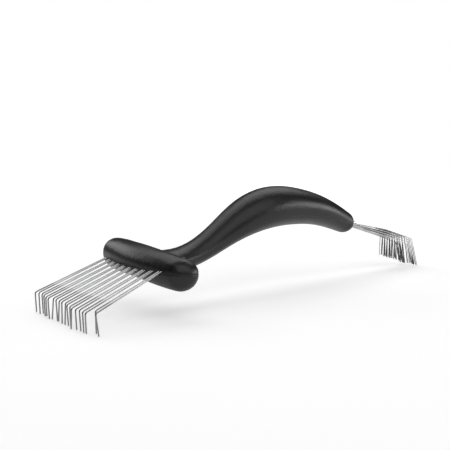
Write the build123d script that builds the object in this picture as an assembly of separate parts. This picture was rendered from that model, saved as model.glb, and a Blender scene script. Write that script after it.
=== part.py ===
from build123d import *
import math
import os

# Two-ended grooming brush cleaner: a black moulded handle with a wire rake at
# one end and a small wire brush at the other.
#
# Frame, in millimetres: +X runs from the rake to the brush, +Y across the tool,
# +Z up. The tool stands on z = 0, on the tips of its rake tines and on the tips
# of the last brush bristles, with the middle of its box over the origin.

# ---------------------------------------------------------------- handle
# Centre line of neck and grip, from inside the head to near the tail:
# (distance along X, height of the centre, half height, half width).
HANDLE_SECTIONS = [
    (-63.0, 20.3, 5.0, 9.0),
    (-50.0, 20.4, 5.0, 7.6),
    (-38.0, 23.6, 5.5, 6.9),
    (-26.0, 29.4, 6.7, 7.6),
    (-12.0, 36.0, 8.8, 9.8),
    (2.0, 39.3, 9.7, 11.0),
    (18.0, 38.8, 8.9, 10.6),
    (34.0, 35.5, 7.4, 9.4),
    (44.0, 31.9, 6.4, 7.8),
]
TAIL_CENTRE = (51.6, 28.6)
TAIL_HALF_HEIGHT = 5.6
TAIL_HALF_WIDTH = 6.3
TAIL_LENGTH = 6.6
TAIL_SLOPE_DEG = 24.0

WALL = 2.4
HOLLOW_FROM = -40.0
HOLLOW_TO = 40.0

# Parting line of the two shells, seen from the side: (X, Z), and a block big
# enough to hold everything below it.
BLOCK_FLOOR_Z = -10.0
BLOCK_HALF_WIDTH = 60.0
PARTING_LINE = [
    (-90.0, 19.9),
    (-72.0, 19.8),
    (-56.0, 19.4),
    (-44.0, 20.0),
    (-26.0, 26.6),
    (-10.0, 33.2),
    (10.0, 35.2),
    (34.0, 32.4),
    (50.0, 28.6),
    (62.0, 25.2),
    (72.0, 22.0),
]

# Locating pins of the lower shell and their sockets in the upper one.
PIN_RADIUS = 1.2
PIN_HEIGHT = 3.0
PIN_ROOT = 2.0
PIN_PLAY = 0.1
BOSS_RADIUS = 2.6
BOSS_HEIGHT = 120.0
GRIP_PIN_PLACES = [(-14.0, 0.0), (28.0, 0.0)]
HEAD_PIN_PLACES = [(-65.0, -27.0), (-65.0, 27.0)]

# ---------------------------------------------------------------- head
HEAD_CENTRE_X = -69.7
HEAD_SWEEP = 2.7
HEAD_HALF_DEPTH_MIDDLE = 7.3
HEAD_HALF_DEPTH_LOBE = 6.9
HEAD_CENTRE_Z_MIDDLE = 21.6
HEAD_CENTRE_Z_LOBE = 20.75
HEAD_HALF_HEIGHT_MIDDLE = 7.2
HEAD_HALF_HEIGHT_LOBE = 7.45
HEAD_LEAN_DEG = 17.0
HEAD_ROLL_DEG = 3.2
LOBE_Y = 24.0
HEAD_HALF_SPAN = 30.4

# ---------------------------------------------------------------- rake
RAKE_WIRES = 10
RAKE_PITCH = 4.6
RAKE_WIRE_DIAMETER = 0.6
RAKE_SLOPE_DEG = 19.6
RAKE_EXIT = (-76.9, 19.9)
RAKE_REACH = 32.8
RAKE_ROW_CURVE = 0.5
RAKE_SPREAD = 1.14
RAKE_ARC_RADIUS = 93.0
LEG_GAP_BACK = 1.2
LEG_GAP_BEND = 2.4
HAIRPIN_DEPTH = 9.0
HAIRPIN_TURN_RADIUS = 0.56
TINE_BEND_RADIUS = 1.2
# How far each bend stands off the even row, and how far each tip leans
# towards the handle (X) and sideways (Y), far side first. The tenth tine stands
# upright with its end on the floor.
TINE_REACH_OFFSETS = [0.7, 0.2, -0.2, 0.2, 0.5, 0.8, -0.5, -0.3, -0.4, -0.2,
                      -0.3, 0.5, 0.9, 1.5, 1.6, 1.2, 1.8, 2.0, -0.6, 0.9]
TINE_TIP_LEANS_X = [0.3, 0.2, 0.6, 0.1, 0.5, 0.4, -0.5, 0.3, -0.3, 0.0,
                    -0.2, 0.4, 0.5, -0.1, 0.3, 0.6, 0.2, 0.5, 0.1, 0.8]
TINE_TIP_LEANS_Y = [-0.2, -0.3, 0.3, -0.6, 0.4, -0.1, 0.5, -0.5, 0.4, 0.0,
                    0.3, -0.4, 0.2, 0.4, -0.3, 0.1, -0.4, 0.3, -0.2, -0.8]
TINE_TIP_HEIGHTS = [0.4, 0.1, 0.5, 0.2, 0.6, 0.1, 0.3, 0.1, 0.4, 0.0,
                    0.1, 0.3, 0.5, 0.1, 0.4, 0.1, 0.3, 0.2, 0.4, 0.1]

CARRIER_FRONT = 3.2
CARRIER_BACK = 10.6
CARRIER_THICKNESS = 2.4
CLAMP_THICKNESS = 1.4
CARRIER_HALF_SPAN = 23.6
POCKET_PLAY = 0.15
GROOVE_PLAY = 0.02
EXIT_SLOT_WIDTH = 2.4
EXIT_SLOT_HEIGHT = 1.0
EXIT_SLOT_AHEAD = 5.2
EXIT_SLOT_LENGTH = 8.6

# ---------------------------------------------------------------- brush
BRUSH_WIRE_DIAMETER = 0.28
BRUSH_LAYERS = 4
BRUSH_LANES = 24
BRUSH_LANE_AT_TAIL = 0.32
BRUSH_LANE_AT_FIELD = 0.39
BRUSH_LAYER_AT_TAIL = 0.5
BRUSH_LAYER_AT_FIELD = 1.15
BRUSH_ROOT = (44.0, 31.4)
BRUSH_EXIT = (60.4, 25.8)
BRUSH_FIELD_START = (80.5, 20.5)
BRUSH_FIELD_END = (101.2, 13.7)
BRUSH_END_TIP_X = 106.8
BRUSH_SWEEP_RADIUS = 8.0
BRUSH_BEND_RADIUS = 0.9
BRUSH_FIRST_BEND = 4.3
BRUSH_TIP_SLOPE_DEG = 17.0
# Uneven bristle ends: how far each stands above the even line of tips.
BRUSH_TIP_LIFTS = [0.1, 0.9, 0.3, 1.2, 0.2, 0.7, 0.4]
END_TIP_EVENNESS = 0.3
# Each lane's wires bend one after another, the lowest first, each in its own
# quarter of the field, a little sooner on the far side. The outermost lanes on both
# sides run on to the end of the brush.
BEND_WANDER = 0.8
LAYER_SHIFT = 0.37
FAR_SIDE_SHORTER = 0.05
SIDE_LANES = 3
SIDE_LANE_STEP = 0.035
SIDE_LANE_SHARES = (0.925, 0.95, 0.975, 1.0)

FERRULE_LENGTH = 10.0
FERRULE_WALL = 0.5
FERRULE_FROM_EXIT = 3.4
FERRULE_CORNER = 0.3
BUNDLE_PLAY = 0.2
WIRE_END_ROOM = 5.0
MOUTH_PLAY = 0.5
MOUTH_CORNER = 0.8
MOUTH_BEYOND_EXIT = 6.0

GOLDEN = (math.sqrt(5.0) - 1.0) / 2.0


# ================================================================ helpers
def heading(a, b):
    """Unit vector in the XZ plane from point a to point b."""
    length = math.hypot(b[0] - a[0], b[1] - a[1])
    return Vector((b[0] - a[0]) / length, 0, (b[1] - a[1]) / length)


def section(x, z, half_height, half_width, direction):
    """An ellipse across the handle, square to its centre line."""
    across = Plane(origin=(x, 0, z), x_dir=(0, 1, 0), z_dir=direction)
    return across * Ellipse(half_width, half_height)


def tail_sections(inset):
    """Shrinking ellipses that round off the tail."""
    slope = math.radians(TAIL_SLOPE_DEG)
    direction = Vector(math.cos(slope), 0, -math.sin(slope))
    faces = []
    for turn in (0, 30, 55, 75, 86):
        along = TAIL_LENGTH * math.sin(math.radians(turn))
        size = math.cos(math.radians(turn))
        centre_x = TAIL_CENTRE[0] + along * direction.X
        centre_z = TAIL_CENTRE[1] + along * direction.Z
        faces.append(section(centre_x, centre_z, (TAIL_HALF_HEIGHT - inset) * size,
                             (TAIL_HALF_WIDTH - inset) * size, direction))
    return faces


def handle_form():
    """The outside of neck, grip and tail, as one loft."""
    points = [(row[0], row[1]) for row in HANDLE_SECTIONS] + [TAIL_CENTRE]
    faces = []
    for index, (x, z, half_height, half_width) in enumerate(HANDLE_SECTIONS):
        before = points[max(index - 1, 0)]
        faces.append(section(x, z, half_height, half_width, heading(before, points[index + 1])))
    return loft(faces + tail_sections(0))


def handle_hollow():
    """The space inside the grip, one wall in from the outside."""
    points = [(row[0], row[1]) for row in HANDLE_SECTIONS] + [TAIL_CENTRE]
    faces = []
    for index, (x, z, half_height, half_width) in enumerate(HANDLE_SECTIONS):
        if HOLLOW_FROM <= x <= HOLLOW_TO:
            direction = heading(points[index - 1], points[index + 1])
            faces.append(section(x, z, half_height - WALL, half_width - WALL, direction))
    return loft(faces)


def head_form():
    """The crescent bar that the rake wires come out of."""
    straight = LOBE_Y
    cap = HEAD_HALF_SPAN - LOBE_Y
    places = [(straight * step / 3.0, 1.0) for step in range(-3, 4)]
    for turn in (28, 52, 70, 82):
        along = straight + cap * math.sin(math.radians(turn))
        size = math.cos(math.radians(turn))
        places = [(-along, size)] + places + [(along, size)]
    faces = []
    for y, size in places:
        out = min(abs(y) / LOBE_Y, 1.0)
        swell = out * out * (3.0 - 2.0 * out)
        x = HEAD_CENTRE_X + HEAD_SWEEP * (y / LOBE_Y) ** 2
        half_depth = HEAD_HALF_DEPTH_MIDDLE + (HEAD_HALF_DEPTH_LOBE - HEAD_HALF_DEPTH_MIDDLE) * swell
        half_height = HEAD_HALF_HEIGHT_MIDDLE + (HEAD_HALF_HEIGHT_LOBE - HEAD_HALF_HEIGHT_MIDDLE) * swell
        z = HEAD_CENTRE_Z_MIDDLE + (HEAD_CENTRE_Z_LOBE - HEAD_CENTRE_Z_MIDDLE) * swell
        slice_plane = Plane(origin=(x, y, z - HEAD_CENTRE_Z_LOBE), x_dir=(1, 0, 0), z_dir=(0, -1, 0))
        leaning = Ellipse(half_depth * size, half_height * size, rotation=HEAD_LEAN_DEG)
        faces.append(slice_plane * leaning)
    return Pos(0, 0, HEAD_CENTRE_Z_LOBE) * Rot(HEAD_ROLL_DEG, 0, 0) * loft(faces)


def parting_curve():
    """The parting line as a smooth curve in the XZ plane."""
    return Spline([(x, 0, z) for x, z in PARTING_LINE])


def below_parting():
    """Everything under the parting line, wide enough for the whole handle."""
    seam = parting_curve()
    start = seam @ 0
    end = seam @ 1
    sides = Polyline(
        (end.X, 0, end.Z),
        (end.X, 0, BLOCK_FLOOR_Z),
        (start.X, 0, BLOCK_FLOOR_Z),
        (start.X, 0, start.Z),
    )
    face = make_face(seam + sides)
    return extrude(face, amount=BLOCK_HALF_WIDTH, dir=(0, 1, 0), both=True)


def parting_height(x):
    """Height of the parting line at x, found by halving along its curve."""
    seam = parting_curve()
    low = 0.0
    high = 1.0
    for _ in range(40):
        middle = (low + high) / 2.0
        if (seam @ middle).X < x:
            low = middle
        else:
            high = middle
    return (seam @ low).Z


# ================================================================ rake
def rake_plane():
    """The sloping plane that all rake wires lie in: its X runs back into the head."""
    slope = math.radians(RAKE_SLOPE_DEG)
    return Plane(
        origin=(RAKE_EXIT[0], 0, RAKE_EXIT[1]),
        x_dir=(math.cos(slope), 0, math.sin(slope)),
        z_dir=(-math.sin(slope), 0, math.cos(slope)),
    )


def arc_setback(y):
    """How far the crescent front lies behind its foremost point at y."""
    return RAKE_ARC_RADIUS - math.sqrt(RAKE_ARC_RADIUS ** 2 - y ** 2)


def wire_centre_y(number):
    """Where a hairpin's middle crosses the front of the head, far side first."""
    return ((RAKE_WIRES - 1) / 2.0 - number) * RAKE_PITCH


def hairpin_path(number):
    """One rake wire: tip, bend, back into the head, round, out again, bend and tip."""
    plane = rake_plane()
    exit_y = wire_centre_y(number)
    setback = arc_setback(exit_y)
    back_y = exit_y * (1.0 - (RAKE_SPREAD - 1.0) * HAIRPIN_DEPTH / RAKE_REACH)
    legs = []
    for side in (1, -1):
        tine = 2 * number + (0 if side > 0 else 1)
        corner = plane.from_local_coords(
            Vector(setback + HAIRPIN_DEPTH, back_y + side * LEG_GAP_BACK / 2.0, 0))
        bend_y = exit_y * RAKE_SPREAD + side * LEG_GAP_BEND / 2.0
        bend = plane.from_local_coords(
            Vector(setback * RAKE_ROW_CURVE - RAKE_REACH - TINE_REACH_OFFSETS[tine], bend_y, 0))
        tip = Vector(bend.X + TINE_TIP_LEANS_X[tine], bend.Y + TINE_TIP_LEANS_Y[tine],
                     TINE_TIP_HEIGHTS[tine])
        legs.append([tip, bend, corner])
    points = legs[0] + legs[1][::-1]
    radii = [TINE_BEND_RADIUS, HAIRPIN_TURN_RADIUS, HAIRPIN_TURN_RADIUS, TINE_BEND_RADIUS]
    return FilletPolyline(points, radius=radii)


def wire_along(path, diameter):
    """A round wire swept along a path of straight runs and arcs."""
    start = path @ 0
    mouth = Plane(origin=start, z_dir=path % 0)
    return sweep(mouth * Circle(diameter / 2.0), path=path)


def ring_sector(front, back, low, high, half_span):
    """A bar that follows the crescent, in the plane of the wires."""
    outer = Circle(RAKE_ARC_RADIUS - front)
    inner = Circle(RAKE_ARC_RADIUS - back)
    window = Pos(-RAKE_ARC_RADIUS, 0) * Rectangle(RAKE_ARC_RADIUS * 2.0, half_span * 2.0)
    flat = Pos(RAKE_ARC_RADIUS, 0) * ((outer - inner) & window)
    return rake_plane() * (Pos(0, 0, low) * extrude(flat, amount=high - low))


def exit_slots():
    """The oblong hole that each hairpin leaves the head through."""
    slots = []
    for number in range(RAKE_WIRES):
        y = wire_centre_y(number)
        outline = Plane.YZ * SlotOverall(EXIT_SLOT_WIDTH, EXIT_SLOT_HEIGHT)
        slot = extrude(outline, amount=EXIT_SLOT_LENGTH)
        slots.append(rake_plane() * (Pos(arc_setback(y) - EXIT_SLOT_AHEAD, y, 0) * slot))
    return slots


# ================================================================ brush
def lanes_from_edge(lane):
    """How many lanes this one lies in from the nearer side of the brush."""
    return min(lane, BRUSH_LANES - 1 - lane)


def bend_share(lane, layer):
    """Where along the field, from 0 to 1, the wire in this lane and layer bends down."""
    edge = lanes_from_edge(lane)
    if edge < SIDE_LANES:
        return SIDE_LANE_SHARES[layer] - SIDE_LANE_STEP * edge
    wander = (lane * GOLDEN + layer * LAYER_SHIFT) % 1.0 * BEND_WANDER
    shorter = 1.0 - FAR_SIDE_SHORTER * lane / (BRUSH_LANES - 1)
    return (layer + wander) / BRUSH_LAYERS * shorter


def brush_wire_path(lane, layer):
    """One brush wire: from the ferrule, out of the tail, spreading, then bent down."""
    lane_offset = lane - (BRUSH_LANES - 1) / 2.0
    layer_offset = layer - (BRUSH_LAYERS - 1) / 2.0
    share = bend_share(lane, layer)
    field = heading(BRUSH_FIELD_START, BRUSH_FIELD_END)
    field_up = Vector(-field.Z, 0, field.X)
    tail = heading(BRUSH_ROOT, BRUSH_EXIT)
    tail_up = Vector(-tail.Z, 0, tail.X)
    y_tail = lane_offset * BRUSH_LANE_AT_TAIL
    y_field = lane_offset * BRUSH_LANE_AT_FIELD
    tail_lift = tail_up * (layer_offset * BRUSH_LAYER_AT_TAIL)
    field_lift = field_up * (layer_offset * BRUSH_LAYER_AT_FIELD)
    root = Vector(BRUSH_ROOT[0], y_tail, BRUSH_ROOT[1]) + tail_lift
    leave = Vector(BRUSH_EXIT[0], y_tail, BRUSH_EXIT[1]) + tail_lift
    start = Vector(BRUSH_FIELD_START[0], y_field, BRUSH_FIELD_START[1]) + field_lift
    length = math.dist(BRUSH_FIELD_START, BRUSH_FIELD_END)
    bend = start + field * (BRUSH_FIRST_BEND + share * (length - BRUSH_FIRST_BEND))
    splay = (BRUSH_END_TIP_X - BRUSH_FIELD_END[0]) * share ** 2
    tip_x = bend.X + splay
    behind_end = max(BRUSH_END_TIP_X - tip_x, 0.0)
    lift = BRUSH_TIP_LIFTS[(lane + 3 * layer) % len(BRUSH_TIP_LIFTS)]
    if lanes_from_edge(lane) < SIDE_LANES:
        lift = lift * END_TIP_EVENNESS
    tip_z = behind_end * math.tan(math.radians(BRUSH_TIP_SLOPE_DEG)) + lift
    tip = Vector(tip_x, bend.Y, tip_z)
    return FilletPolyline([root, leave, start, bend, tip],
                          radius=[BRUSH_SWEEP_RADIUS, BRUSH_SWEEP_RADIUS, BRUSH_BEND_RADIUS])


def brush_layer(layer):
    """All wires of one layer, near side first."""
    wires = []
    for lane in range(BRUSH_LANES):
        wires.append(wire_along(brush_wire_path(lane, layer), BRUSH_WIRE_DIAMETER))
    return Compound(children=wires)


def bundle_plane():
    """Across the wire bundle, at the inner end of the ferrule."""
    direction = heading(BRUSH_ROOT, BRUSH_EXIT)
    start = Vector(BRUSH_EXIT[0], 0, BRUSH_EXIT[1]) - direction * (FERRULE_FROM_EXIT + FERRULE_LENGTH)
    return Plane(origin=start, x_dir=(0, 1, 0), z_dir=direction)


def bundle_size():
    """Width and thickness of the packed wires."""
    width = (BRUSH_LANES - 1) * BRUSH_LANE_AT_TAIL + BRUSH_WIRE_DIAMETER + BUNDLE_PLAY
    thickness = (BRUSH_LAYERS - 1) * BRUSH_LAYER_AT_TAIL + BRUSH_WIRE_DIAMETER + BUNDLE_PLAY
    return width, thickness


def brush_ferrule():
    """The flattened steel sleeve that grips the brush wires."""
    width, thickness = bundle_size()
    outer = RectangleRounded(width + 2 * FERRULE_WALL, thickness + 2 * FERRULE_WALL,
                             FERRULE_CORNER + FERRULE_WALL)
    inner = RectangleRounded(width, thickness, FERRULE_CORNER)
    sleeve = extrude(outer, amount=FERRULE_LENGTH) - extrude(inner, amount=FERRULE_LENGTH)
    return bundle_plane() * sleeve


def ferrule_pocket():
    """The room in the shells for the ferrule and the wire ends behind it."""
    width, thickness = bundle_size()
    around = 2 * (FERRULE_WALL + POCKET_PLAY)
    block = Rectangle(width + around, thickness + around)
    room = extrude(block, amount=WIRE_END_ROOM + FERRULE_LENGTH + BUNDLE_PLAY)
    return bundle_plane() * (Pos(0, 0, -WIRE_END_ROOM) * room)


def tail_slot():
    """The mouth in the tail that the brush wires leave through."""
    width, thickness = bundle_size()
    mouth = RectangleRounded(width + MOUTH_PLAY, thickness + MOUTH_PLAY, MOUTH_CORNER)
    return bundle_plane() * extrude(mouth, amount=FERRULE_LENGTH + FERRULE_FROM_EXIT + MOUTH_BEYOND_EXIT)


# ================================================================ build
def rake_pieces():
    """The hairpins, and the carrier and clamp strip grooved to hold them."""
    pieces = {}
    carrier = ring_sector(CARRIER_FRONT, CARRIER_BACK, -CARRIER_THICKNESS, 0.0, CARRIER_HALF_SPAN)
    clamp = ring_sector(CARRIER_FRONT, CARRIER_BACK, 0.0, CLAMP_THICKNESS, CARRIER_HALF_SPAN)
    for number in range(RAKE_WIRES):
        path = hairpin_path(number)
        pieces[f"rake_wire_{number + 1:02d}"] = wire_along(path, RAKE_WIRE_DIAMETER)
        groove = wire_along(path, RAKE_WIRE_DIAMETER + 2 * GROOVE_PLAY)
        carrier = carrier - groove
        clamp = clamp - groove
    pieces["rake_carrier"] = carrier
    pieces["rake_clamp_strip"] = clamp
    return pieces


def brush_pieces():
    """The ferrule and the four layers of brush wires."""
    pieces = {"brush_ferrule": brush_ferrule()}
    for layer in range(BRUSH_LAYERS):
        pieces[f"brush_wires_layer_{layer + 1}"] = brush_layer(layer)
    return pieces


def carrier_pocket():
    """The room in the head for the carrier and its clamp strip."""
    return ring_sector(CARRIER_FRONT - POCKET_PLAY, CARRIER_BACK + POCKET_PLAY,
                       -CARRIER_THICKNESS - POCKET_PLAY, CLAMP_THICKNESS + POCKET_PLAY,
                       CARRIER_HALF_SPAN + POCKET_PLAY)


def hollow_handle():
    """The whole handle before it is parted: outside, hollow, pockets and slots."""
    hollow = handle_hollow()
    for x, y in GRIP_PIN_PLACES:
        hollow = hollow - Pos(x, y, 0) * Cylinder(BOSS_RADIUS, BOSS_HEIGHT)
    handle = handle_form() + head_form()
    for space in [hollow, carrier_pocket(), ferrule_pocket(), tail_slot()] + exit_slots():
        handle = handle - space
    return handle


def locating_peg(x, y, play):
    """A round peg across the parting line: play 0 for the pin, more for its socket."""
    height = PIN_HEIGHT + PIN_ROOT + 4 * play
    middle = parting_height(x) + (PIN_HEIGHT - PIN_ROOT) / 2.0
    return Pos(x, y, middle) * Cylinder(PIN_RADIUS + play, height)


def handle_shells():
    """Upper and lower half of the handle, with pins in one and sockets in the other."""
    handle = hollow_handle()
    lower_space = below_parting()
    lower = handle & lower_space
    upper = handle - lower_space
    for x, y in GRIP_PIN_PLACES + HEAD_PIN_PLACES:
        lower = lower + locating_peg(x, y, 0.0)
        upper = upper - locating_peg(x, y, PIN_PLAY)
    return {"handle_upper_shell": upper, "handle_lower_shell": lower}


def stand_on_origin(pieces):
    """Move everything so that the box around the tool stands on z = 0 over the origin."""
    boxes = [shape.bounding_box() for shape in pieces.values()]
    middle_x = (min(box.min.X for box in boxes) + max(box.max.X for box in boxes)) / 2.0
    middle_y = (min(box.min.Y for box in boxes) + max(box.max.Y for box in boxes)) / 2.0
    floor_z = min(box.min.Z for box in boxes)
    return {name: Pos(-middle_x, -middle_y, -floor_z) * shape for name, shape in pieces.items()}


def main():
    os.makedirs("parts", exist_ok=True)
    pieces = {}
    pieces.update(handle_shells())
    pieces.update(rake_pieces())
    pieces.update(brush_pieces())
    for name, shape in stand_on_origin(pieces).items():
        shape.label = name
        export_step(shape, os.path.join("parts", name + ".step"))


main()
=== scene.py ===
"""Looks of the two-ended grooming brush cleaner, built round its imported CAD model.

Sizes are in millimetres while a shape is worked out, and in metres once it is a mesh.
"""

import math
import random

import bmesh
import bpy
import numpy as np
from mathutils import Matrix, Vector

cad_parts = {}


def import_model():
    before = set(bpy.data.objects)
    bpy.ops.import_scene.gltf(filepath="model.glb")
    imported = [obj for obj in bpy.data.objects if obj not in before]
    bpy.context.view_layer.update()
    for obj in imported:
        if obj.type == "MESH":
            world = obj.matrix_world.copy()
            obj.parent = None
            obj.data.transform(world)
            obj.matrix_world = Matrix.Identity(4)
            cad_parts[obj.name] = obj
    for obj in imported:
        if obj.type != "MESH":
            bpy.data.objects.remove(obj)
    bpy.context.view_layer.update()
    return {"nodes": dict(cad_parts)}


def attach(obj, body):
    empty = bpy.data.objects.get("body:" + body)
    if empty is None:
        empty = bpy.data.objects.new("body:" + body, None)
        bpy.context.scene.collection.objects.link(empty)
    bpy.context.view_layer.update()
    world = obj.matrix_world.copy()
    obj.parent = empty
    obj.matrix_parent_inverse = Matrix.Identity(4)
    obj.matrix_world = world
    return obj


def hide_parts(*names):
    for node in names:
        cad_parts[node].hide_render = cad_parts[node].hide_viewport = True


MM = 0.001
TINY = 1e-9
WELD = 1e-5

# The CAD model was moved by this much to stand over the origin.
CENTRING = np.array((1.011, 0.0, 0.0))

# ---------------------------------------------------------------- handle sizes
# Neck and grip: distance along X, height of the centre, half height, half width.
HANDLE_SECTIONS = [
    (-63.0, 20.3, 5.0, 9.0),
    (-50.0, 20.4, 5.0, 7.6),
    (-38.0, 23.6, 5.5, 6.9),
    (-26.0, 29.4, 6.7, 7.6),
    (-12.0, 36.0, 8.8, 9.8),
    (2.0, 39.3, 9.7, 11.0),
    (18.0, 38.8, 8.9, 10.6),
    (34.0, 35.5, 7.4, 9.4),
    (44.0, 31.9, 6.4, 7.8),
    (51.6, 28.6, 5.6, 6.3),
]
TAIL_LENGTH = 6.6
NECK_ROOT_LENGTH = 3.0
CURVE_STEPS = 400

# Where the two shells meet: distance along X, height.
PARTING_LINE = [
    (-90.0, 19.9),
    (-72.0, 19.8),
    (-56.0, 19.4),
    (-44.0, 20.0),
    (-26.0, 26.6),
    (-10.0, 33.2),
    (10.0, 35.2),
    (34.0, 32.4),
    (50.0, 28.6),
    (62.0, 25.2),
    (72.0, 22.0),
]

# The crescent bar, from its middle out to its two lobes.
HEAD_CENTRE_X = -69.7
HEAD_SWEEP = 2.7
HEAD_HALF_DEPTH_MIDDLE = 7.3
HEAD_HALF_DEPTH_LOBE = 6.9
HEAD_CENTRE_Z_MIDDLE = 21.6
HEAD_CENTRE_Z_LOBE = 20.75
HEAD_HALF_HEIGHT_MIDDLE = 7.2
HEAD_HALF_HEIGHT_LOBE = 7.45
HEAD_ROLL_DEG = 3.2
HEAD_LEAN_DEG = 17.0
LOBE_Y = 24.0
HEAD_HALF_SPAN = 30.4
# The top of each lobe falls away towards its end and its rear.
LOBE_FALL = 3.2
LOBE_FALL_FROM = 15.0
LOBE_FALL_POWER = 1.5

BLEND_RADIUS = 0.6
SEAM_DEPTH = 0.13
SEAM_REACH = 0.42
SEAM_LEVELS = (0.42, 0.3, 0.2, 0.12, 0.05, 0.0, -0.05, -0.12, -0.2, -0.3, -0.42)

# How the handle's mesh is made.
POINTS_AT_ONCE = 20000
GRADIENT_STEP = 0.05
ROUGH_AROUND = 48
ROUGH_EVERY = 8
ROUGH_TAIL_RINGS = 16
ROUGH_BAR_RINGS = 60
ROUGH_BAR_HALF_DEPTH = 6.4
ROUGH_BAR_HALF_HEIGHT = 6.6
ROUGH_BAR_INSET = 0.3
ROUGH_LEAST_SIZE = 0.1
VOXEL = 0.55
RELAX_ROUNDS = 8
RELAX_SHARE = 0.5
LEAST_STEEPNESS = 1e-6
HANDLE_SHARP_DEG = 38.0

# ---------------------------------------------------------------- rake sizes
RAKE_WIRES = 10
RAKE_PITCH = 4.6
RAKE_WIRE_DIAMETER = 0.6
RAKE_SLOPE_DEG = 19.6
# Where the middle of the row leaves the head: distance along X, height.
RAKE_EXIT = (-76.9, 19.9)
RAKE_REACH = 32.8
RAKE_ROW_CURVE = 0.5
RAKE_SPREAD = 1.14
RAKE_ARC_RADIUS = 93.0
LEG_GAP_BACK = 1.2
LEG_GAP_BEND = 2.4
HAIRPIN_DEPTH = 9.0
HAIRPIN_TURN_RADIUS = 0.56
TINE_BEND_RADIUS = 1.2
# How uneven the twenty tines are, the far side first.
TINE_REACH_OFFSETS = [0.7, 0.2, -0.2, 0.2, 0.5, 0.8, -0.5, -0.3, -0.4, -0.2,
                      -0.3, 0.5, 0.9, 1.5, 1.6, 1.2, 1.8, 2.0, -0.6, 0.9]
TINE_TIP_LEANS_X = [0.3, 0.2, 0.6, 0.1, 0.5, 0.4, -0.5, 0.3, -0.3, 0.0,
                    -0.2, 0.4, 0.5, -0.1, 0.3, 0.6, 0.2, 0.5, 0.1, 0.8]
TINE_TIP_LEANS_Y = [-0.2, -0.3, 0.3, -0.6, 0.4, -0.1, 0.5, -0.5, 0.4, 0.0,
                    0.3, -0.4, 0.2, 0.4, -0.3, 0.1, -0.4, 0.3, -0.2, -0.8]
TINE_TIP_HEIGHTS = [0.4, 0.1, 0.5, 0.2, 0.6, 0.1, 0.3, 0.1, 0.4, 0.0,
                    0.1, 0.3, 0.5, 0.1, 0.4, 0.1, 0.3, 0.2, 0.4, 0.1]
EXIT_SLOT_WIDTH = 2.4
EXIT_SLOT_HEIGHT = 1.0
EXIT_SLOT_AHEAD = 5.2
EXIT_SLOT_LENGTH = 8.6
WIRE_SIDES = 14
WIRE_SHARP_DEG = 50.0
CHAMFER_LENGTH_SHARE = 0.3
CHAMFER_RADIUS_SHARE = 0.7
ARC_STEPS = 7
CUTTER_SIDES = 20

# ---------------------------------------------------------------- brush sizes
BRUSH_WIRE_DIAMETER = 0.28
BRUSH_WIRE_SIDES = 10
BRUSH_LAYERS = 4
BRUSH_LANES = 24
BRUSH_LANE_AT_TAIL = 0.32
BRUSH_LANE_AT_FIELD = 0.39
BRUSH_LAYER_AT_TAIL = 0.5
BRUSH_LAYER_AT_FIELD = 1.15
# The run of the wires: distance along X, height.
BRUSH_ROOT = (44.0, 31.4)
BRUSH_EXIT = (60.4, 25.8)
BRUSH_FIELD_START = (80.5, 20.5)
BRUSH_FIELD_END = (101.2, 13.7)
BRUSH_END_TIP_X = 106.8
BRUSH_SWEEP_RADIUS = 8.0
BRUSH_BEND_RADIUS = 0.9
BRUSH_FIRST_BEND = 4.3
BRUSH_TIP_SLOPE_DEG = 17.0
BRUSH_TIP_LIFTS = [0.1, 0.9, 0.3, 1.2, 0.2, 0.7, 0.4]
TIP_LIFT_STEP = 3
END_TIP_EVENNESS = 0.3
BRISTLE_STRAY = 0.45
MOUTH_WIDTH = 6.9
MOUTH_HEIGHT = 2.5
MOUTH_LENGTH = 26.0
# Each lane's wires bend one after another, the lowest first, each in its own
# quarter of the field, a little sooner on the far side. The outermost lanes on both
# sides run on to the end of the brush.
BEND_WANDER = 0.8
LAYER_SHIFT = 0.37
FAR_SIDE_SHORTER = 0.05
SIDE_LANES = 3
SIDE_LANE_STEP = 0.035
SIDE_LANE_SHARES = (0.925, 0.95, 0.975, 1.0)
GOLDEN = (math.sqrt(5.0) - 1.0) / 2.0

# ---------------------------------------------------------------- looks
WHITE = (1.0, 1.0, 1.0, 1.0)
NOISE_ROUGHNESS = 0.55
PLASTIC_DARK = (0.006, 0.006, 0.0063)
PLASTIC_LIGHT = (0.010, 0.010, 0.0105)
NYLON_DARK = (0.06, 0.06, 0.064)
NYLON_LIGHT = (0.1, 0.1, 0.105)
RAKE_BRIGHT = (0.60, 0.60, 0.61)
RAKE_DARKER = (0.30, 0.30, 0.31)
# The brush's darker colour is painted shade on the bristles: the shade under the wire band and between the
# dense bristles.
BRUSH_BRIGHT = (0.76, 0.76, 0.77)
BRUSH_PAINTED_SHADE = (0.12, 0.12, 0.123)
FERRULE_BRIGHT = (0.62, 0.62, 0.63)
FERRULE_DARKER = (0.5, 0.5, 0.5)
# In metres. The rake's tines are darker below this height. The brush's bristles are darker
# below the sloping underside of the field: painted shade, for the shade under the wire band
# and between the dense bristles. The ferrule is never darker.
RAKE_DARKER_BELOW = 0.012
BRUSH_PAINTED_SHADE_BELOW = 0.0449
BRUSH_PAINTED_SHADE_SLOPE = 0.3285
NEVER_DARKER = -1.0
DARKENING_BLUR = 0.0004

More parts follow.
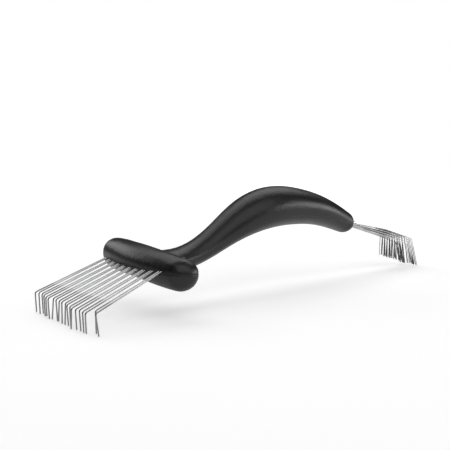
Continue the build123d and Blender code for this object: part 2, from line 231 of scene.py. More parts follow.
# ---------------------------------------------------------------- studio
# In metres and watts.
ROOM_LIGHT = 0.05
SOFT_BOXES = [
    # name, place, aim, width, height, power
    ("top_soft", (0.45, 0.55, 0.95), (0.45, 0.55, 0.0), 2.0, 1.0, 8.5),
    ("back_left_soft", (-0.35, 1.05, 0.55), (-0.05, 0.0, 0.02), 1.0, 0.5, 3.0),
    ("right_low_soft", (0.95, -0.60, 0.2), (0.0, 0.0, 0.04), 0.9, 0.35, 3.6),
    ("front_fill", (-0.1, -0.8, 0.8), (0.0, 0.0, 0.04), 1.5, 1.1, 5.0),
]
FLOOR_RADIUS = 0.75
FLOOR_RINGS = (0.05, 0.15, 0.3, 0.5, FLOOR_RADIUS)
FLOOR_SIDES = 96
FLOOR_DARK = (0.79, 0.79, 0.79)
FLOOR_LIGHT = (0.8, 0.8, 0.8)
FLOOR_FADE_FROM = 0.25
FLOOR_GLOW = 0.46
FLOOR_GLOW_AROUND = 0.2

# ---------------------------------------------------------------- camera
CAMERA_TARGET = (-23.25, 0.0, 33.16)
CAMERA_AZIMUTH_DEG = -38.9
CAMERA_ELEVATION_DEG = 7.9
CAMERA_DISTANCE = 411.0
CAMERA_LENS = 72.24
CAMERA_SENSOR = 36.0
CAMERA_NEAREST = 0.01
CAMERA_FARTHEST = 20.0


# ================================================================ curves
def smooth_columns(rows, steps):
    """Rows of numbers joined by a smooth curve (natural cubic) and read at even steps."""
    table = np.array(rows, dtype=float)
    gaps = np.hypot(np.diff(table[:, 0]), np.diff(table[:, 1]))
    knots = np.concatenate(([0.0], np.cumsum(gaps)))
    wanted = np.linspace(0.0, knots[-1], steps)
    columns = [cubic(knots, column, wanted) for column in table.T]
    return np.stack(columns, axis=1)


def cubic(knots, values, wanted):
    """Natural cubic spline through (knots, values), read at wanted."""
    count = len(knots)
    gap = np.diff(knots)
    system = np.zeros((count, count))
    right = np.zeros(count)
    system[0, 0] = 1.0
    system[-1, -1] = 1.0
    for i in range(1, count - 1):
        system[i, i - 1] = gap[i - 1]
        system[i, i] = 2.0 * (gap[i - 1] + gap[i])
        system[i, i + 1] = gap[i]
        slope_after = (values[i + 1] - values[i]) / gap[i]
        slope_before = (values[i] - values[i - 1]) / gap[i - 1]
        right[i] = 6.0 * (slope_after - slope_before)
    bend = np.linalg.solve(system, right)
    place = np.clip(np.searchsorted(knots, wanted) - 1, 0, count - 2)
    left = wanted - knots[place]
    rest = knots[place + 1] - wanted
    h = gap[place]
    return ((bend[place] * rest ** 3 + bend[place + 1] * left ** 3) / (6.0 * h)
            + (values[place] / h - bend[place] * h / 6.0) * rest
            + (values[place + 1] / h - bend[place + 1] * h / 6.0) * left)


HANDLE_CURVE = smooth_columns(HANDLE_SECTIONS, CURVE_STEPS)
SEAM_CURVE = smooth_columns(PARTING_LINE, CURVE_STEPS)


def seam_height(x):
    """Height of the parting line above x."""
    return np.interp(x, SEAM_CURVE[:, 0], SEAM_CURVE[:, 1])


def filleted(points, radii):
    """A path of straight runs with an arc of the given radius at each inner point."""
    path = [Vector(points[0])]
    for index in range(1, len(points) - 1):
        corner = Vector(points[index])
        back = (Vector(points[index - 1]) - corner).normalized()
        ahead = (Vector(points[index + 1]) - corner).normalized()
        half_turn = (math.pi - back.angle(ahead)) / 2.0
        radius = radii[index - 1]
        reach = radius * math.tan(half_turn)
        centre = corner + (back + ahead).normalized() * (radius / math.cos(half_turn))
        start = corner + back * reach - centre
        end = corner + ahead * reach - centre
        axis = start.cross(end).normalized()
        sweep = start.angle(end)
        for step in range(ARC_STEPS + 1):
            path.append(centre + Matrix.Rotation(sweep * step / ARC_STEPS, 3, axis) @ start)
    path.append(Vector(points[-1]))
    return path


# ================================================================ handle form
def ellipsoid_distance(offsets, halves):
    """Rough signed distance to a rounded form, from offsets to its middle and its half sizes."""
    shares = [offset / half for offset, half in zip(offsets, halves)]
    inner = np.sqrt(sum(share ** 2 for share in shares)) + TINY
    slope = np.sqrt(sum((share / half) ** 2 for share, half in zip(shares, halves)))
    return (inner - 1.0) * inner / (slope + TINY)


def tube_distance(points):
    """Rough signed distance to the neck, grip and tail."""
    x, z, tall, wide = HANDLE_CURVE.T
    run_x = np.gradient(x)
    run_z = np.gradient(z)
    length = np.hypot(run_x, run_z)
    run_x = run_x / length
    run_z = run_z / length
    out = np.empty(len(points))
    for start in range(0, len(points), POINTS_AT_ONCE):
        part = points[start:start + POINTS_AT_ONCE]
        away = (part[:, None, 0] - x) ** 2 + (part[:, None, 2] - z) ** 2
        near = np.argmin(away, axis=1)
        dx = part[:, 0] - x[near]
        dz = part[:, 2] - z[near]
        along = dx * run_x[near] + dz * run_z[near]
        up = -dx * run_z[near] + dz * run_x[near]
        cap = np.where(near == 0, NECK_ROOT_LENGTH, TAIL_LENGTH)
        at_end = ((near == 0) & (along < 0)) | ((near == len(x) - 1) & (along > 0))
        past = np.where(at_end, along, 0.0)
        offsets = (past, part[:, 1], up)
        halves = (cap, wide[near], tall[near])
        out[start:start + POINTS_AT_ONCE] = ellipsoid_distance(offsets, halves)
    return out


def head_distance(points):
    """Rough signed distance to the crescent bar."""
    roll = math.radians(HEAD_ROLL_DEG)
    high = points[:, 2] - HEAD_CENTRE_Z_LOBE
    y = points[:, 1] * math.cos(roll) + high * math.sin(roll)
    z = HEAD_CENTRE_Z_LOBE + high * math.cos(roll) - points[:, 1] * math.sin(roll)
    over = np.maximum(np.abs(y) - LOBE_Y, 0.0)
    out = np.minimum(np.abs(y) / LOBE_Y, 1.0)
    swell = out * out * (3.0 - 2.0 * out)
    deep = HEAD_HALF_DEPTH_MIDDLE + (HEAD_HALF_DEPTH_LOBE - HEAD_HALF_DEPTH_MIDDLE) * swell
    tall = HEAD_HALF_HEIGHT_MIDDLE + (HEAD_HALF_HEIGHT_LOBE - HEAD_HALF_HEIGHT_MIDDLE) * swell
    dx = points[:, 0] - (HEAD_CENTRE_X + HEAD_SWEEP * (y / LOBE_Y) ** 2)
    dz = z - (HEAD_CENTRE_Z_MIDDLE + (HEAD_CENTRE_Z_LOBE - HEAD_CENTRE_Z_MIDDLE) * swell)
    lean = math.radians(HEAD_LEAN_DEG)
    flat = dx * math.cos(lean) + dz * math.sin(lean)
    up = -dx * math.sin(lean) + dz * math.cos(lean)
    end = np.clip((np.abs(y) - LOBE_FALL_FROM) / (HEAD_HALF_SPAN - LOBE_FALL_FROM), 0.0, 1.0)
    rear = np.clip(0.5 + 0.5 * flat / deep, 0.0, 1.0)
    tall = np.where(up > 0.0, tall - LOBE_FALL * end ** LOBE_FALL_POWER * rear, tall)
    return ellipsoid_distance((over, flat, up), (HEAD_HALF_SPAN - LOBE_Y, deep, tall))


def handle_distance(points):
    """Both forms joined with a small fillet."""
    tube = tube_distance(points)
    head = head_distance(points)
    mix = np.clip(0.5 + 0.5 * (tube - head) / BLEND_RADIUS, 0.0, 1.0)
    return tube * (1.0 - mix) + head * mix - BLEND_RADIUS * mix * (1.0 - mix)


def handle_gradient(points):
    """Direction and steepness in which the distance grows."""
    columns = []
    for axis in range(3):
        shift = np.zeros(3)
        shift[axis] = GRADIENT_STEP
        change = handle_distance(points + shift) - handle_distance(points - shift)
        columns.append(change / (2.0 * GRADIENT_STEP))
    return np.stack(columns, axis=1)


# ================================================================ mesh helpers
def new_object(name, mesh):
    """An object with this mesh, put in the scene."""
    thing = bpy.data.objects.new(name, mesh)
    bpy.context.scene.collection.objects.link(thing)
    return thing


def mesh_from(name, verts, faces):
    """A mesh from plain lists of points and faces."""
    mesh = bpy.data.meshes.new(name)
    mesh.from_pydata([tuple(v) for v in verts], [], faces)
    mesh.validate()
    return mesh


def apply_modifiers(thing):
    """Bake the object's modifiers into its mesh."""
    graph = bpy.context.evaluated_depsgraph_get()
    baked = bpy.data.meshes.new_from_object(thing.evaluated_get(graph))
    old = thing.data
    thing.modifiers.clear()
    thing.data = baked
    bpy.data.meshes.remove(old)


def rings_to_faces(rings, around):
    """Quads between closed rings laid one after another, with one flat cap at each end."""
    faces = []
    for ring in range(rings - 1):
        for step in range(around):
            a = ring * around + step
            b = ring * around + (step + 1) % around
            faces.append((a, b, b + around, a + around))
    faces.append(tuple(range(around))[::-1])
    faces.append(tuple(range((rings - 1) * around, rings * around)))
    return faces


def face_outwards(mesh):
    """Turn every face of a closed mesh to look outwards."""
    bm = bmesh.new()
    bm.from_mesh(mesh)
    bmesh.ops.recalc_face_normals(bm, faces=bm.faces)
    bm.to_mesh(mesh)
    bm.free()


def vertices_of(mesh):
    """The mesh's points as an array."""
    points = np.empty(len(mesh.vertices) * 3)
    mesh.vertices.foreach_get("co", points)
    return points.reshape(-1, 3)


def set_vertices(mesh, points):
    """Put the mesh's points where the array says."""
    mesh.vertices.foreach_set("co", np.ascontiguousarray(points).ravel())
    mesh.update()


def neighbour_mean(mesh, points):
    """The mean of each vertex's neighbours."""
    edges = np.empty(len(mesh.edges) * 2, dtype=np.int64)
    mesh.edges.foreach_get("vertices", edges)
    edges = edges.reshape(-1, 2)
    total = np.zeros_like(points)
    count = np.zeros(len(points))
    np.add.at(total, edges[:, 0], points[edges[:, 1]])
    np.add.at(total, edges[:, 1], points[edges[:, 0]])
    np.add.at(count, edges[:, 0], 1.0)
    np.add.at(count, edges[:, 1], 1.0)
    return total / count[:, None]


def smooth_shading(mesh, angle_deg):
    """Smooth all faces but keep edges sharper than the angle."""
    mesh.polygons.foreach_set("use_smooth", np.ones(len(mesh.polygons), dtype=bool))
    mesh.set_sharp_from_angle(angle=math.radians(angle_deg))


# ================================================================ handle
def add_rings(verts, faces, rings):
    """Join closed rings into one capped form, added to verts and faces."""
    start = len(verts)
    for ring in rings:
        verts += ring
    faces += [tuple(start + i for i in face) for face in rings_to_faces(len(rings), ROUGH_AROUND)]


def ring_turns():
    """The angles of a rough ring's points."""
    return [2.0 * math.pi * step / ROUGH_AROUND for step in range(ROUGH_AROUND)]


def rough_grip_rings():
    """Ellipses across the neck and grip."""
    rings = []
    for x, z, tall, wide in HANDLE_CURVE[::ROUGH_EVERY]:
        rings.append([(x, wide * math.cos(turn), z + tall * math.sin(turn)) for turn in ring_turns()])
    return rings


def rough_tail_rings():
    """A rounded end for the grip's tail."""
    x, z, tall, wide = HANDLE_CURVE[-1]
    rings = []
    for number in range(1, ROUGH_TAIL_RINGS):
        tilt = math.pi * number / ROUGH_TAIL_RINGS
        ring = []
        for turn in ring_turns():
            ring.append((x + TAIL_LENGTH * math.cos(tilt),
                         wide * math.sin(tilt) * math.cos(turn),
                         z + tall * math.sin(tilt) * math.sin(turn)))
        rings.append(ring)
    return rings


def rough_bar_rings():
    """Ellipses along the crescent bar, smaller towards its two ends."""
    rings = []
    reach = HEAD_HALF_SPAN - ROUGH_BAR_INSET
    for y in np.linspace(-reach, reach, ROUGH_BAR_RINGS):
        over = max(abs(y) - LOBE_Y, 0.0) / (HEAD_HALF_SPAN - LOBE_Y)
        size = max(math.sqrt(max(1.0 - over ** 2, 0.0)), ROUGH_LEAST_SIZE)
        x = HEAD_CENTRE_X + HEAD_SWEEP * (y / LOBE_Y) ** 2
        ring = []
        for turn in ring_turns():
            ring.append((x + ROUGH_BAR_HALF_DEPTH * size * math.cos(turn),
                         y, HEAD_CENTRE_Z_LOBE + ROUGH_BAR_HALF_HEIGHT * size * math.sin(turn)))
        rings.append(ring)
    return rings


def rough_handle():
    """Overlapping rings for the grip, tail and bar, melted into one even mesh."""
    verts = []
    faces = []
    add_rings(verts, faces, rough_grip_rings())
    add_rings(verts, faces, rough_tail_rings())
    add_rings(verts, faces, rough_bar_rings())
    mesh = mesh_from("handle_rough", verts, faces)
    face_outwards(mesh)
    thing = new_object("handle_rough", mesh)
    melt = thing.modifiers.new("melt", "REMESH")
    melt.mode = "VOXEL"
    melt.voxel_size = VOXEL
    apply_modifiers(thing)
    return thing


def fitted_handle():
    """The melted mesh drawn exactly onto the handle's form."""
    thing = rough_handle()
    mesh = thing.data
    points = vertices_of(mesh)
    for _ in range(RELAX_ROUNDS):
        middle = neighbour_mean(mesh, points)
        points = points + RELAX_SHARE * (middle - points)
        slope = handle_gradient(points)
        steep = np.sum(slope * slope, axis=1) + LEAST_STEEPNESS
        points = points - slope * (handle_distance(points) / steep)[:, None]
    set_vertices(mesh, points)
    return thing


def flatten_seam(points, direction):
    """Move the parting surface to z = 0 (direction -1) or back (direction +1)."""
    points = points.copy()
    points[:, 2] += direction * seam_height(points[:, 0])
    return points


def seam_rows(mesh):
    """Extra loops of edges beside the seam, for its rounding."""
    bm = bmesh.new()
    bm.from_mesh(mesh)
    for level in SEAM_LEVELS:
        everything = bm.verts[:] + bm.edges[:] + bm.faces[:]
        bmesh.ops.bisect_plane(bm, geom=everything, dist=WELD,
                               plane_co=(0, 0, level), plane_no=(0, 0, 1))
    bm.to_mesh(mesh)
    bm.free()


def round_seam(mesh):
    """Sink the surface towards the seam as the rounded edges of two mouldings do."""
    points = vertices_of(mesh)
    real = flatten_seam(points, 1)
    slope = handle_gradient(real)
    slope = slope / (np.linalg.norm(slope, axis=1)[:, None] + TINY)
    near = np.clip(1.0 - np.abs(points[:, 2]) / SEAM_REACH, 0.0, 1.0)
    sink = SEAM_DEPTH * (1.0 - np.sqrt(1.0 - near ** 2))
    slope[:, 2] = 0.0
    points = points - slope * sink[:, None]
    set_vertices(mesh, points)


def half_of(mesh, name, side):
    """One shell: the part of the flattened handle above (1) or below (-1) the seam, closed."""
    bm = bmesh.new()
    bm.from_mesh(mesh)
    everything = bm.verts[:] + bm.edges[:] + bm.faces[:]
    bmesh.ops.bisect_plane(bm, geom=everything, dist=WELD,
                           plane_co=(0, 0, 0), plane_no=(0, 0, 1),
                           clear_inner=side > 0, clear_outer=side < 0)
    rim = [edge for edge in bm.edges if edge.is_boundary]
    filled = bmesh.ops.holes_fill(bm, edges=rim, sides=0)["faces"]
    bmesh.ops.triangulate(bm, faces=filled, quad_method="BEAUTY", ngon_method="BEAUTY")
    bmesh.ops.recalc_face_normals(bm, faces=bm.faces)
    half = bpy.data.meshes.new(name)
    bm.to_mesh(half)
    bm.free()
    set_vertices(half, flatten_seam(vertices_of(half), 1))
    return new_object(name, half)


def oblong_cutter(verts, faces, place, width, height, length):
    """A straight rounded-end bar along the local X of place, added to verts and faces."""
    outline = []
    radius = height / 2.0
    for step in range(CUTTER_SIDES):
        turn = 2.0 * math.pi * (step + 0.5) / CUTTER_SIDES
        side = (width / 2.0 - radius) * (1 if math.cos(turn) > 0 else -1)
        outline.append((side + radius * math.cos(turn), radius * math.sin(turn)))
    start = len(verts)
    for along in (0.0, length):
        for y, z in outline:
            verts.append(tuple(place @ Vector((along, y, z))))
    faces += [tuple(start + i for i in face) for face in rings_to_faces(2, CUTTER_SIDES)]


def rake_matrix():
    """The sloping plane that the rake wires lie in; its X runs back into the head."""
    slope = math.radians(RAKE_SLOPE_DEG)
    return (Matrix.Translation((RAKE_EXIT[0], 0.0, RAKE_EXIT[1]))
            @ Matrix.Rotation(-slope, 4, "Y"))


def arc_setback(y):
    """How far back the curved row of wires lies at this distance from the middle."""
    return RAKE_ARC_RADIUS - math.sqrt(RAKE_ARC_RADIUS ** 2 - y ** 2)


def wire_centre_y(number):
    """Where a hairpin's middle leaves the head, far side first."""
    return ((RAKE_WIRES - 1) / 2.0 - number) * RAKE_PITCH


def opening_cutters():
    """The ten slots in the head and the mouth in the tail, as one object to cut with."""
    verts = []
    faces = []
    for number in range(RAKE_WIRES):
        y = wire_centre_y(number)
        place = rake_matrix() @ Matrix.Translation((arc_setback(y) - EXIT_SLOT_AHEAD, y, 0.0))
        oblong_cutter(verts, faces, place, EXIT_SLOT_WIDTH, EXIT_SLOT_HEIGHT, EXIT_SLOT_LENGTH)
    run = Vector((BRUSH_EXIT[0] - BRUSH_ROOT[0], 0.0, BRUSH_EXIT[1] - BRUSH_ROOT[1]))
    slope = math.atan2(run.z, run.x)
    place = Matrix.Translation((BRUSH_ROOT[0], 0.0, BRUSH_ROOT[1])) @ Matrix.Rotation(-slope, 4, "Y")
    oblong_cutter(verts, faces, place, MOUTH_WIDTH, MOUTH_HEIGHT, MOUTH_LENGTH)
    mesh = mesh_from("cutters", verts, faces)
    face_outwards(mesh)
    return new_object("cutters", mesh)


def handle_shells(plastic):
    """Upper and lower shell with rounded seam edges, wire slots and brush mouth."""
    whole = fitted_handle()
    set_vertices(whole.data, flatten_seam(vertices_of(whole.data), -1))
    seam_rows(whole.data)
    round_seam(whole.data)
    cutters = opening_cutters()
    shells = []
    for name, side in (("handle_upper_look", 1), ("handle_lower_look", -1)):
        shell = half_of(whole.data, name, side)
        cut = shell.modifiers.new("cut", "BOOLEAN")
        cut.operation = "DIFFERENCE"
        cut.solver = "EXACT"
        cut.object = cutters
        apply_modifiers(shell)
        set_vertices(shell.data, (vertices_of(shell.data) + CENTRING) * MM)
        smooth_shading(shell.data, HANDLE_SHARP_DEG)
        shell.data.materials.append(plastic)
        shells.append(shell)
    bpy.data.objects.remove(whole)
    bpy.data.objects.remove(cutters)
    return shells


# ================================================================ wires
def tube_mesh(name, paths, diameter, sides):
    """Round wires along the given paths, with lightly chamfered ends, as one mesh."""
    verts = []
    faces = []
    radius = diameter / 2.0
    for path in paths:
        path = [Vector(p) for p in path]
        chamfer = radius * CHAMFER_LENGTH_SHARE
        first = path[0] + (path[1] - path[0]).normalized() * chamfer
        last = path[-1] + (path[-2] - path[-1]).normalized() * chamfer
        path = [path[0], first] + path[1:-1] + [last, path[-1]]
        start = len(verts)
        frame_up = None
        for index, point in enumerate(path):
            before = path[max(index - 1, 0)]
            after = path[min(index + 1, len(path) - 1)]
            along = (after - before).normalized()
            if frame_up is None:
                frame_up = along.cross(Vector((0, 1, 0))).normalized()
            frame_up = (frame_up - along * frame_up.dot(along)).normalized()
            side = along.cross(frame_up)
            size = radius
            if index in (0, len(path) - 1):
                size = radius * CHAMFER_RADIUS_SHARE
            for step in range(sides):
                turn = 2.0 * math.pi * step / sides
                outward = frame_up * math.cos(turn) + side * math.sin(turn)
                verts.append(point + outward * size)
        faces += [tuple(start + i for i in face) for face in rings_to_faces(len(path), sides)]
    points = (np.array([tuple(v) for v in verts]) + CENTRING) * MM
    mesh = mesh_from(name, points, faces)
    smooth_shading(mesh, WIRE_SHARP_DEG)
    return mesh


def hairpin_points(number):
    """One rake wire: tip, bend, back into the head, round, out again, bend and tip."""
    plane = rake_matrix()
    exit_y = wire_centre_y(number)
    setback = arc_setback(exit_y)
    back_y = exit_y * (1.0 - (RAKE_SPREAD - 1.0) * HAIRPIN_DEPTH / RAKE_REACH)
    legs = []
    for side in (1, -1):
        tine = 2 * number
        if side < 0:
            tine += 1
        corner = plane @ Vector((setback + HAIRPIN_DEPTH, back_y + side * LEG_GAP_BACK / 2.0, 0.0))
        bend_y = exit_y * RAKE_SPREAD + side * LEG_GAP_BEND / 2.0
        bend_x = setback * RAKE_ROW_CURVE - RAKE_REACH - TINE_REACH_OFFSETS[tine]
        bend = plane @ Vector((bend_x, bend_y, 0.0))
        tip = Vector((bend.x + TINE_TIP_LEANS_X[tine], bend.y + TINE_TIP_LEANS_Y[tine],
                      TINE_TIP_HEIGHTS[tine]))
        legs.append([tip, bend, corner])
    points = legs[0] + legs[1][::-1]
    radii = [TINE_BEND_RADIUS, HAIRPIN_TURN_RADIUS, HAIRPIN_TURN_RADIUS, TINE_BEND_RADIUS]
    return filleted(points, radii)


def rake_wires(steel):
    """The ten hairpins, far side first."""
    wires = []
    for number in range(RAKE_WIRES):
        mesh = tube_mesh(f"rake_wire_look_{number + 1:02d}", [hairpin_points(number)],
                         RAKE_WIRE_DIAMETER, WIRE_SIDES)
        mesh.materials.append(steel)
        wires.append(new_object(mesh.name, mesh))
    return wires


# ================================================================ brush
def lanes_from_edge(lane):
    """How many lanes this one lies in from the nearer side of the brush."""
    return min(lane, BRUSH_LANES - 1 - lane)


def bend_share(lane, layer):
    """Where along the field, from 0 to 1, the wire in this lane and layer bends down."""
    edge = lanes_from_edge(lane)
    if edge < SIDE_LANES:
        return SIDE_LANE_SHARES[layer] - SIDE_LANE_STEP * edge
    wander = (lane * GOLDEN + layer * LAYER_SHIFT) % 1.0 * BEND_WANDER
    shorter = 1.0 - FAR_SIDE_SHORTER * lane / (BRUSH_LANES - 1)
    return (layer + wander) / BRUSH_LAYERS * shorter


def heading(a, b):
    """The unit direction from a to b, both given as distance along X and height."""
    return Vector((b[0] - a[0], 0.0, b[1] - a[1])).normalized()


def brush_wire_points(lane, layer):
    """One brush wire: from the ferrule, out of the tail, spreading, then bent down."""
    lane_offset = lane - (BRUSH_LANES - 1) / 2.0
    layer_offset = layer - (BRUSH_LAYERS - 1) / 2.0
    share = bend_share(lane, layer)
    field = heading(BRUSH_FIELD_START, BRUSH_FIELD_END)
    field_up = Vector((-field.z, 0.0, field.x))
    tail = heading(BRUSH_ROOT, BRUSH_EXIT)
    tail_up = Vector((-tail.z, 0.0, tail.x))
    y_tail = lane_offset * BRUSH_LANE_AT_TAIL
    y_field = lane_offset * BRUSH_LANE_AT_FIELD
    tail_lift = tail_up * (layer_offset * BRUSH_LAYER_AT_TAIL)
    field_lift = field_up * (layer_offset * BRUSH_LAYER_AT_FIELD)
    root = Vector((BRUSH_ROOT[0], y_tail, BRUSH_ROOT[1])) + tail_lift
    leave = Vector((BRUSH_EXIT[0], y_tail, BRUSH_EXIT[1])) + tail_lift
    start = Vector((BRUSH_FIELD_START[0], y_field, BRUSH_FIELD_START[1])) + field_lift
    length = math.dist(BRUSH_FIELD_START, BRUSH_FIELD_END)
    bend = start + field * (BRUSH_FIRST_BEND + share * (length - BRUSH_FIRST_BEND))
    tip_x = bend.x + (BRUSH_END_TIP_X - BRUSH_FIELD_END[0]) * share ** 2
    behind_end = max(BRUSH_END_TIP_X - tip_x, 0.0)
    lift = BRUSH_TIP_LIFTS[(lane + TIP_LIFT_STEP * layer) % len(BRUSH_TIP_LIFTS)]
    if lanes_from_edge(lane) < SIDE_LANES:
        lift = lift * END_TIP_EVENNESS
    stray = random.Random(lane * BRUSH_LAYERS + layer)
    tip = Vector((tip_x + stray.uniform(-BRISTLE_STRAY, 0.0),
                  bend.y + stray.uniform(-BRISTLE_STRAY, BRISTLE_STRAY),
                  behind_end * math.tan(math.radians(BRUSH_TIP_SLOPE_DEG)) + lift))
    return filleted([root, leave, start, bend, tip],
                    [BRUSH_SWEEP_RADIUS, BRUSH_SWEEP_RADIUS, BRUSH_BEND_RADIUS])


def brush_layers(steel):
    """The brush's wires, one mesh for each layer, the lowest first."""
    layers = []
    for layer in range(BRUSH_LAYERS):
        paths = [brush_wire_points(lane, layer) for lane in range(BRUSH_LANES)]
        mesh = tube_mesh(f"brush_wires_look_{layer + 1}", paths, BRUSH_WIRE_DIAMETER, BRUSH_WIRE_SIDES)
        mesh.materials.append(steel)
        layers.append(new_object(mesh.name, mesh))
    return layers


# ================================================================ materials
class Look:
    """A new material with short ways to add and join its nodes."""

    def __init__(self, name):
        self.material = bpy.data.materials.new(name)
        self.material.use_nodes = True
        self.nodes = self.material.node_tree.nodes
        self.links = self.material.node_tree.links
        self.shader = self.nodes["Principled BSDF"]
        self.place = self.nodes.new("ShaderNodeTexCoord").outputs["Object"]

    def join(self, source, socket):
        """Feed one of the shader's sockets."""
        self.links.new(source, self.shader.inputs[socket])

    def fixed(self, socket, value):
        """Set one of the shader's sockets to the same value everywhere."""
        self.shader.inputs[socket].default_value = value

    def noise(self, scale, detail):
        texture = self.nodes.new("ShaderNodeTexNoise")
        texture.inputs["Scale"].default_value = scale
        texture.inputs["Detail"].default_value = detail
        texture.inputs["Roughness"].default_value = NOISE_ROUGHNESS
        self.links.new(self.place, texture.inputs["Vector"])
        return texture.outputs["Fac"]

    def pores(self, scale):
        texture = self.nodes.new("ShaderNodeTexVoronoi")
        texture.inputs["Scale"].default_value = scale
        self.links.new(self.place, texture.inputs["Vector"])
        return texture.outputs["Distance"]

    def ranged(self, source, before, after):
        """source between the two numbers of before becomes the two of after."""
        spread = self.nodes.new("ShaderNodeMapRange")
        spread.inputs["From Min"].default_value = before[0]
        spread.inputs["From Max"].default_value = before[1]
        spread.inputs["To Min"].default_value = after[0]
        spread.inputs["To Max"].default_value = after[1]
        self.links.new(source, spread.inputs["Value"])
        return spread.outputs["Result"]

    def blended(self, share, first, second):
        """A colour between two, by share."""
        mix = self.nodes.new("ShaderNodeMix")
        mix.data_type = "RGBA"
        mix.inputs[6].default_value = (*first, 1.0)
        mix.inputs[7].default_value = (*second, 1.0)
        self.links.new(share, mix.inputs[0])
        return mix.outputs[2]

    def bump(self, height, strength, distance, before=None):
        """Dents in the surface, on top of any earlier ones."""
        dent = self.nodes.new("ShaderNodeBump")
        dent.inputs["Strength"].default_value = strength
        dent.inputs["Distance"].default_value = distance
        self.links.new(height, dent.inputs["Height"])
        if before is not None:
            self.links.new(before, dent.inputs["Normal"])
        return dent.outputs["Normal"]


def black_plastic():
    """Satin black moulded plastic with a fine leathery grain and faint handling marks."""
    look = Look("black_plastic_look")
    cloud = look.noise(scale=60.0, detail=4.0)
    marks = look.ranged(cloud, (0.35, 0.7), (0.0, 1.0))
    look.join(look.blended(marks, PLASTIC_DARK, PLASTIC_LIGHT), "Base Color")
    look.join(look.ranged(cloud, (0.3, 0.7), (0.28, 0.38)), "Roughness")
    mottle = look.bump(look.noise(scale=800.0, detail=3.0), strength=0.5, distance=0.0003)
    grain = look.bump(look.noise(scale=2600.0, detail=2.0), strength=0.25, distance=0.00006, before=mottle)
    pores = look.bump(look.pores(scale=1500.0), strength=0.18, distance=0.00005, before=grain)
    look.join(pores, "Normal")
    look.fixed("Specular IOR Level", 0.5)
    return look.material


def height_along_slope(look, slope):
    """Height plus slope times x."""
    axes = look.nodes.new("ShaderNodeSeparateXYZ")
    look.links.new(look.place, axes.inputs[0])
    level = look.nodes.new("ShaderNodeMath")
    level.operation = "MULTIPLY_ADD"
    level.inputs[1].default_value = slope
    look.links.new(axes.outputs["X"], level.inputs[0])
    look.links.new(axes.outputs["Z"], level.inputs[2])
    return level.outputs[0]


def drawn_steel(name, bright, darker, darker_below, slope=0.0):
    """Drawn wire: bright metal with faint drawing lines, darker towards its lower ends.

    The darker colour begins where height plus slope times x falls below the given height, in metres; on
    the brush's bristles it is painted shade.
    """
    look = Look(name)
    patches = look.noise(scale=320.0, detail=3.0)
    edge = (darker_below - DARKENING_BLUR, darker_below + DARKENING_BLUR)
    stem = look.ranged(height_along_slope(look, slope), edge, (0.0, 1.0))
    share = look.nodes.new("ShaderNodeMath")
    share.operation = "SUBTRACT"
    share.use_clamp = True
    look.links.new(stem, share.inputs[0])
    look.links.new(look.ranged(patches, (0.35, 0.7), (0.0, 0.35)), share.inputs[1])
    look.join(look.blended(share.outputs[0], darker, bright), "Base Color")
    look.join(look.ranged(patches, (0.3, 0.7), (0.12, 0.24)), "Roughness")
    look.join(look.bump(look.noise(scale=5200.0, detail=2.0), strength=0.05, distance=0.00001), "Normal")
    look.fixed("Metallic", 1.0)
    return look.material


def inner_nylon():
    """Matte moulded nylon of the hidden carrier parts."""
    look = Look("inner_nylon_look")
    cloud = look.noise(scale=200.0, detail=4.0)
    look.join(look.blended(cloud, NYLON_DARK, NYLON_LIGHT), "Base Color")
    look.join(look.ranged(cloud, (0.3, 0.7), (0.5, 0.65)), "Roughness")
    look.join(look.bump(look.noise(scale=3000.0, detail=3.0), strength=0.2, distance=0.00005), "Normal")
    return look.material


def studio_white():
    """Matte white floor; it glows so that shadows stay pale, and more so towards its edge."""
    look = Look("studio_white")
    look.join(look.blended(look.noise(scale=6.0, detail=2.0), FLOOR_DARK, FLOOR_LIGHT), "Base Color")
    from_middle = look.nodes.new("ShaderNodeVectorMath")
    from_middle.operation = "LENGTH"
    look.links.new(look.place, from_middle.inputs[0])
    fade = look.ranged(from_middle.outputs["Value"], (FLOOR_FADE_FROM, FLOOR_RADIUS), (FLOOR_GLOW, 1.0))
    glow = look.nodes.new("ShaderNodeMix")
    glow.inputs["A"].default_value = FLOOR_GLOW_AROUND
    look.links.new(look.nodes.new("ShaderNodeLightPath").outputs["Is Camera Ray"], glow.inputs["Factor"])
    look.links.new(fade, glow.inputs["B"])
    look.join(glow.outputs["Result"], "Emission Strength")
    look.fixed("Emission Color", WHITE)
    look.fixed("Roughness", 0.9)
    look.fixed("Specular IOR Level", 0.1)
    return look.material


# ================================================================ studio
def studio_floor():
    """A round white floor."""
    verts = [(0.0, 0.0, 0.0)]
    faces = [(0, 1 + step, 1 + (step + 1) % FLOOR_SIDES) for step in range(FLOOR_SIDES)]
    for radius in FLOOR_RINGS:
        for step in range(FLOOR_SIDES):
            turn = 2.0 * math.pi * step / FLOOR_SIDES
            verts.append((radius * math.cos(turn), radius * math.sin(turn), 0.0))
    for ring in range(len(FLOOR_RINGS) - 1):
        for step in range(FLOOR_SIDES):
            a = 1 + ring * FLOOR_SIDES + step
            b = 1 + ring * FLOOR_SIDES + (step + 1) % FLOOR_SIDES
            faces.append((a, a + FLOOR_SIDES, b + FLOOR_SIDES, b))
    mesh = mesh_from("studio_floor", verts, faces)
    mesh.materials.append(studio_white())
    floor = new_object("studio_floor", mesh)


def soft_box(name, place, aim, width, height, power):
    """A rectangular lamp that the camera does not see."""
    light = bpy.data.lights.new(name, "AREA")
    light.shape = "RECTANGLE"
    light.size = width
    light.size_y = height
    light.energy = power
    lamp = bpy.data.objects.new(name, light)
    bpy.context.scene.collection.objects.link(lamp)
    lamp.location = place
    lamp.rotation_euler = (Vector(aim) - Vector(place)).to_track_quat("-Z", "Y").to_euler()
    lamp.visible_camera = False


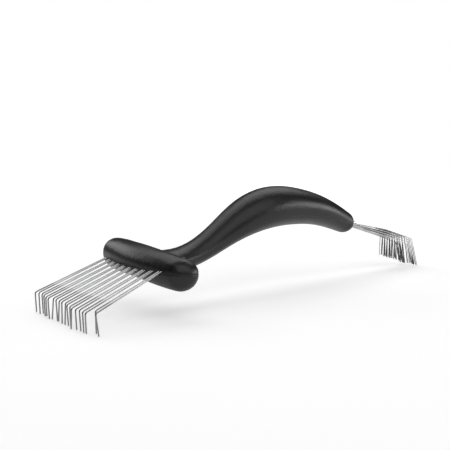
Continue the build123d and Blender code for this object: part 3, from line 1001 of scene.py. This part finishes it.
def studio_light():
    """Four soft boxes in a dim room; what the camera sees behind the object is white."""
    world = bpy.data.worlds.new("studio")
    bpy.context.scene.world = world
    world.use_nodes = True
    nodes = world.node_tree.nodes
    links = world.node_tree.links
    room = nodes["Background"]
    room.inputs["Color"].default_value = WHITE
    room.inputs["Strength"].default_value = ROOM_LIGHT
    backdrop = nodes.new("ShaderNodeBackground")
    backdrop.inputs["Color"].default_value = WHITE
    seen = nodes.new("ShaderNodeLightPath").outputs["Is Camera Ray"]
    mix = nodes.new("ShaderNodeMixShader")
    links.new(seen, mix.inputs[0])
    links.new(room.outputs[0], mix.inputs[1])
    links.new(backdrop.outputs[0], mix.inputs[2])
    links.new(mix.outputs[0], nodes["World Output"].inputs["Surface"])
    for box in SOFT_BOXES:
        soft_box(*box)


def camera():
    """A viewpoint given by its angles and distance from the point it looks at."""
    azimuth = math.radians(CAMERA_AZIMUTH_DEG)
    elevation = math.radians(CAMERA_ELEVATION_DEG)
    back = Vector((math.sin(azimuth) * math.cos(elevation),
                   -math.cos(azimuth) * math.cos(elevation), math.sin(elevation)))
    lens = bpy.data.cameras.new("camera")
    lens.lens = CAMERA_LENS
    lens.sensor_width = CAMERA_SENSOR
    lens.clip_start = CAMERA_NEAREST
    lens.clip_end = CAMERA_FARTHEST
    viewer = bpy.data.objects.new("camera", lens)
    bpy.context.scene.collection.objects.link(viewer)
    viewer.location = (Vector(CAMERA_TARGET) + back * CAMERA_DISTANCE) * MM
    viewer.rotation_euler = (-back).to_track_quat("-Z", "Y").to_euler()
    bpy.context.scene.camera = viewer


# ================================================================ assembly
def assemble(frame):
    """Make every material and visible piece, and give the hidden CAD pieces their looks."""
    plastic = black_plastic()
    rake_steel = drawn_steel("rake_wire_steel_look", RAKE_BRIGHT, RAKE_DARKER, RAKE_DARKER_BELOW)
    # The brush wires darken below the field's underside: painted shade under the wire band and between the
    # bristles.
    brush_steel = drawn_steel("brush_wire_steel_painted_shade_look", BRUSH_BRIGHT, BRUSH_PAINTED_SHADE,
                              BRUSH_PAINTED_SHADE_BELOW, BRUSH_PAINTED_SHADE_SLOPE)
    ferrule_steel = drawn_steel("ferrule_steel_look", FERRULE_BRIGHT, FERRULE_DARKER, NEVER_DARKER)
    nylon = inner_nylon()
    upper, lower = handle_shells(plastic)
    for shell, node in ((upper, "handle_upper_shell"), (lower, "handle_lower_shell")):
        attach(shell, "root")
        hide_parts(node)
    for number, wire in enumerate(rake_wires(rake_steel)):
        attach(wire, "root")
        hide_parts(f"rake_wire_{number + 1:02d}")
    for number, layer in enumerate(brush_layers(brush_steel)):
        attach(layer, "root")
        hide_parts(f"brush_wires_layer_{number + 1}")
    hidden = {"rake_carrier": nylon, "rake_clamp_strip": nylon, "brush_ferrule": ferrule_steel}
    for node, material in hidden.items():
        for slot in frame["nodes"][node].material_slots:
            slot.material = material


def main():
    """Build the scene."""
    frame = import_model()
    camera()
    studio_floor()
    studio_light()
    assemble(frame)
    bpy.context.scene.view_settings.view_transform = "Standard"


main()
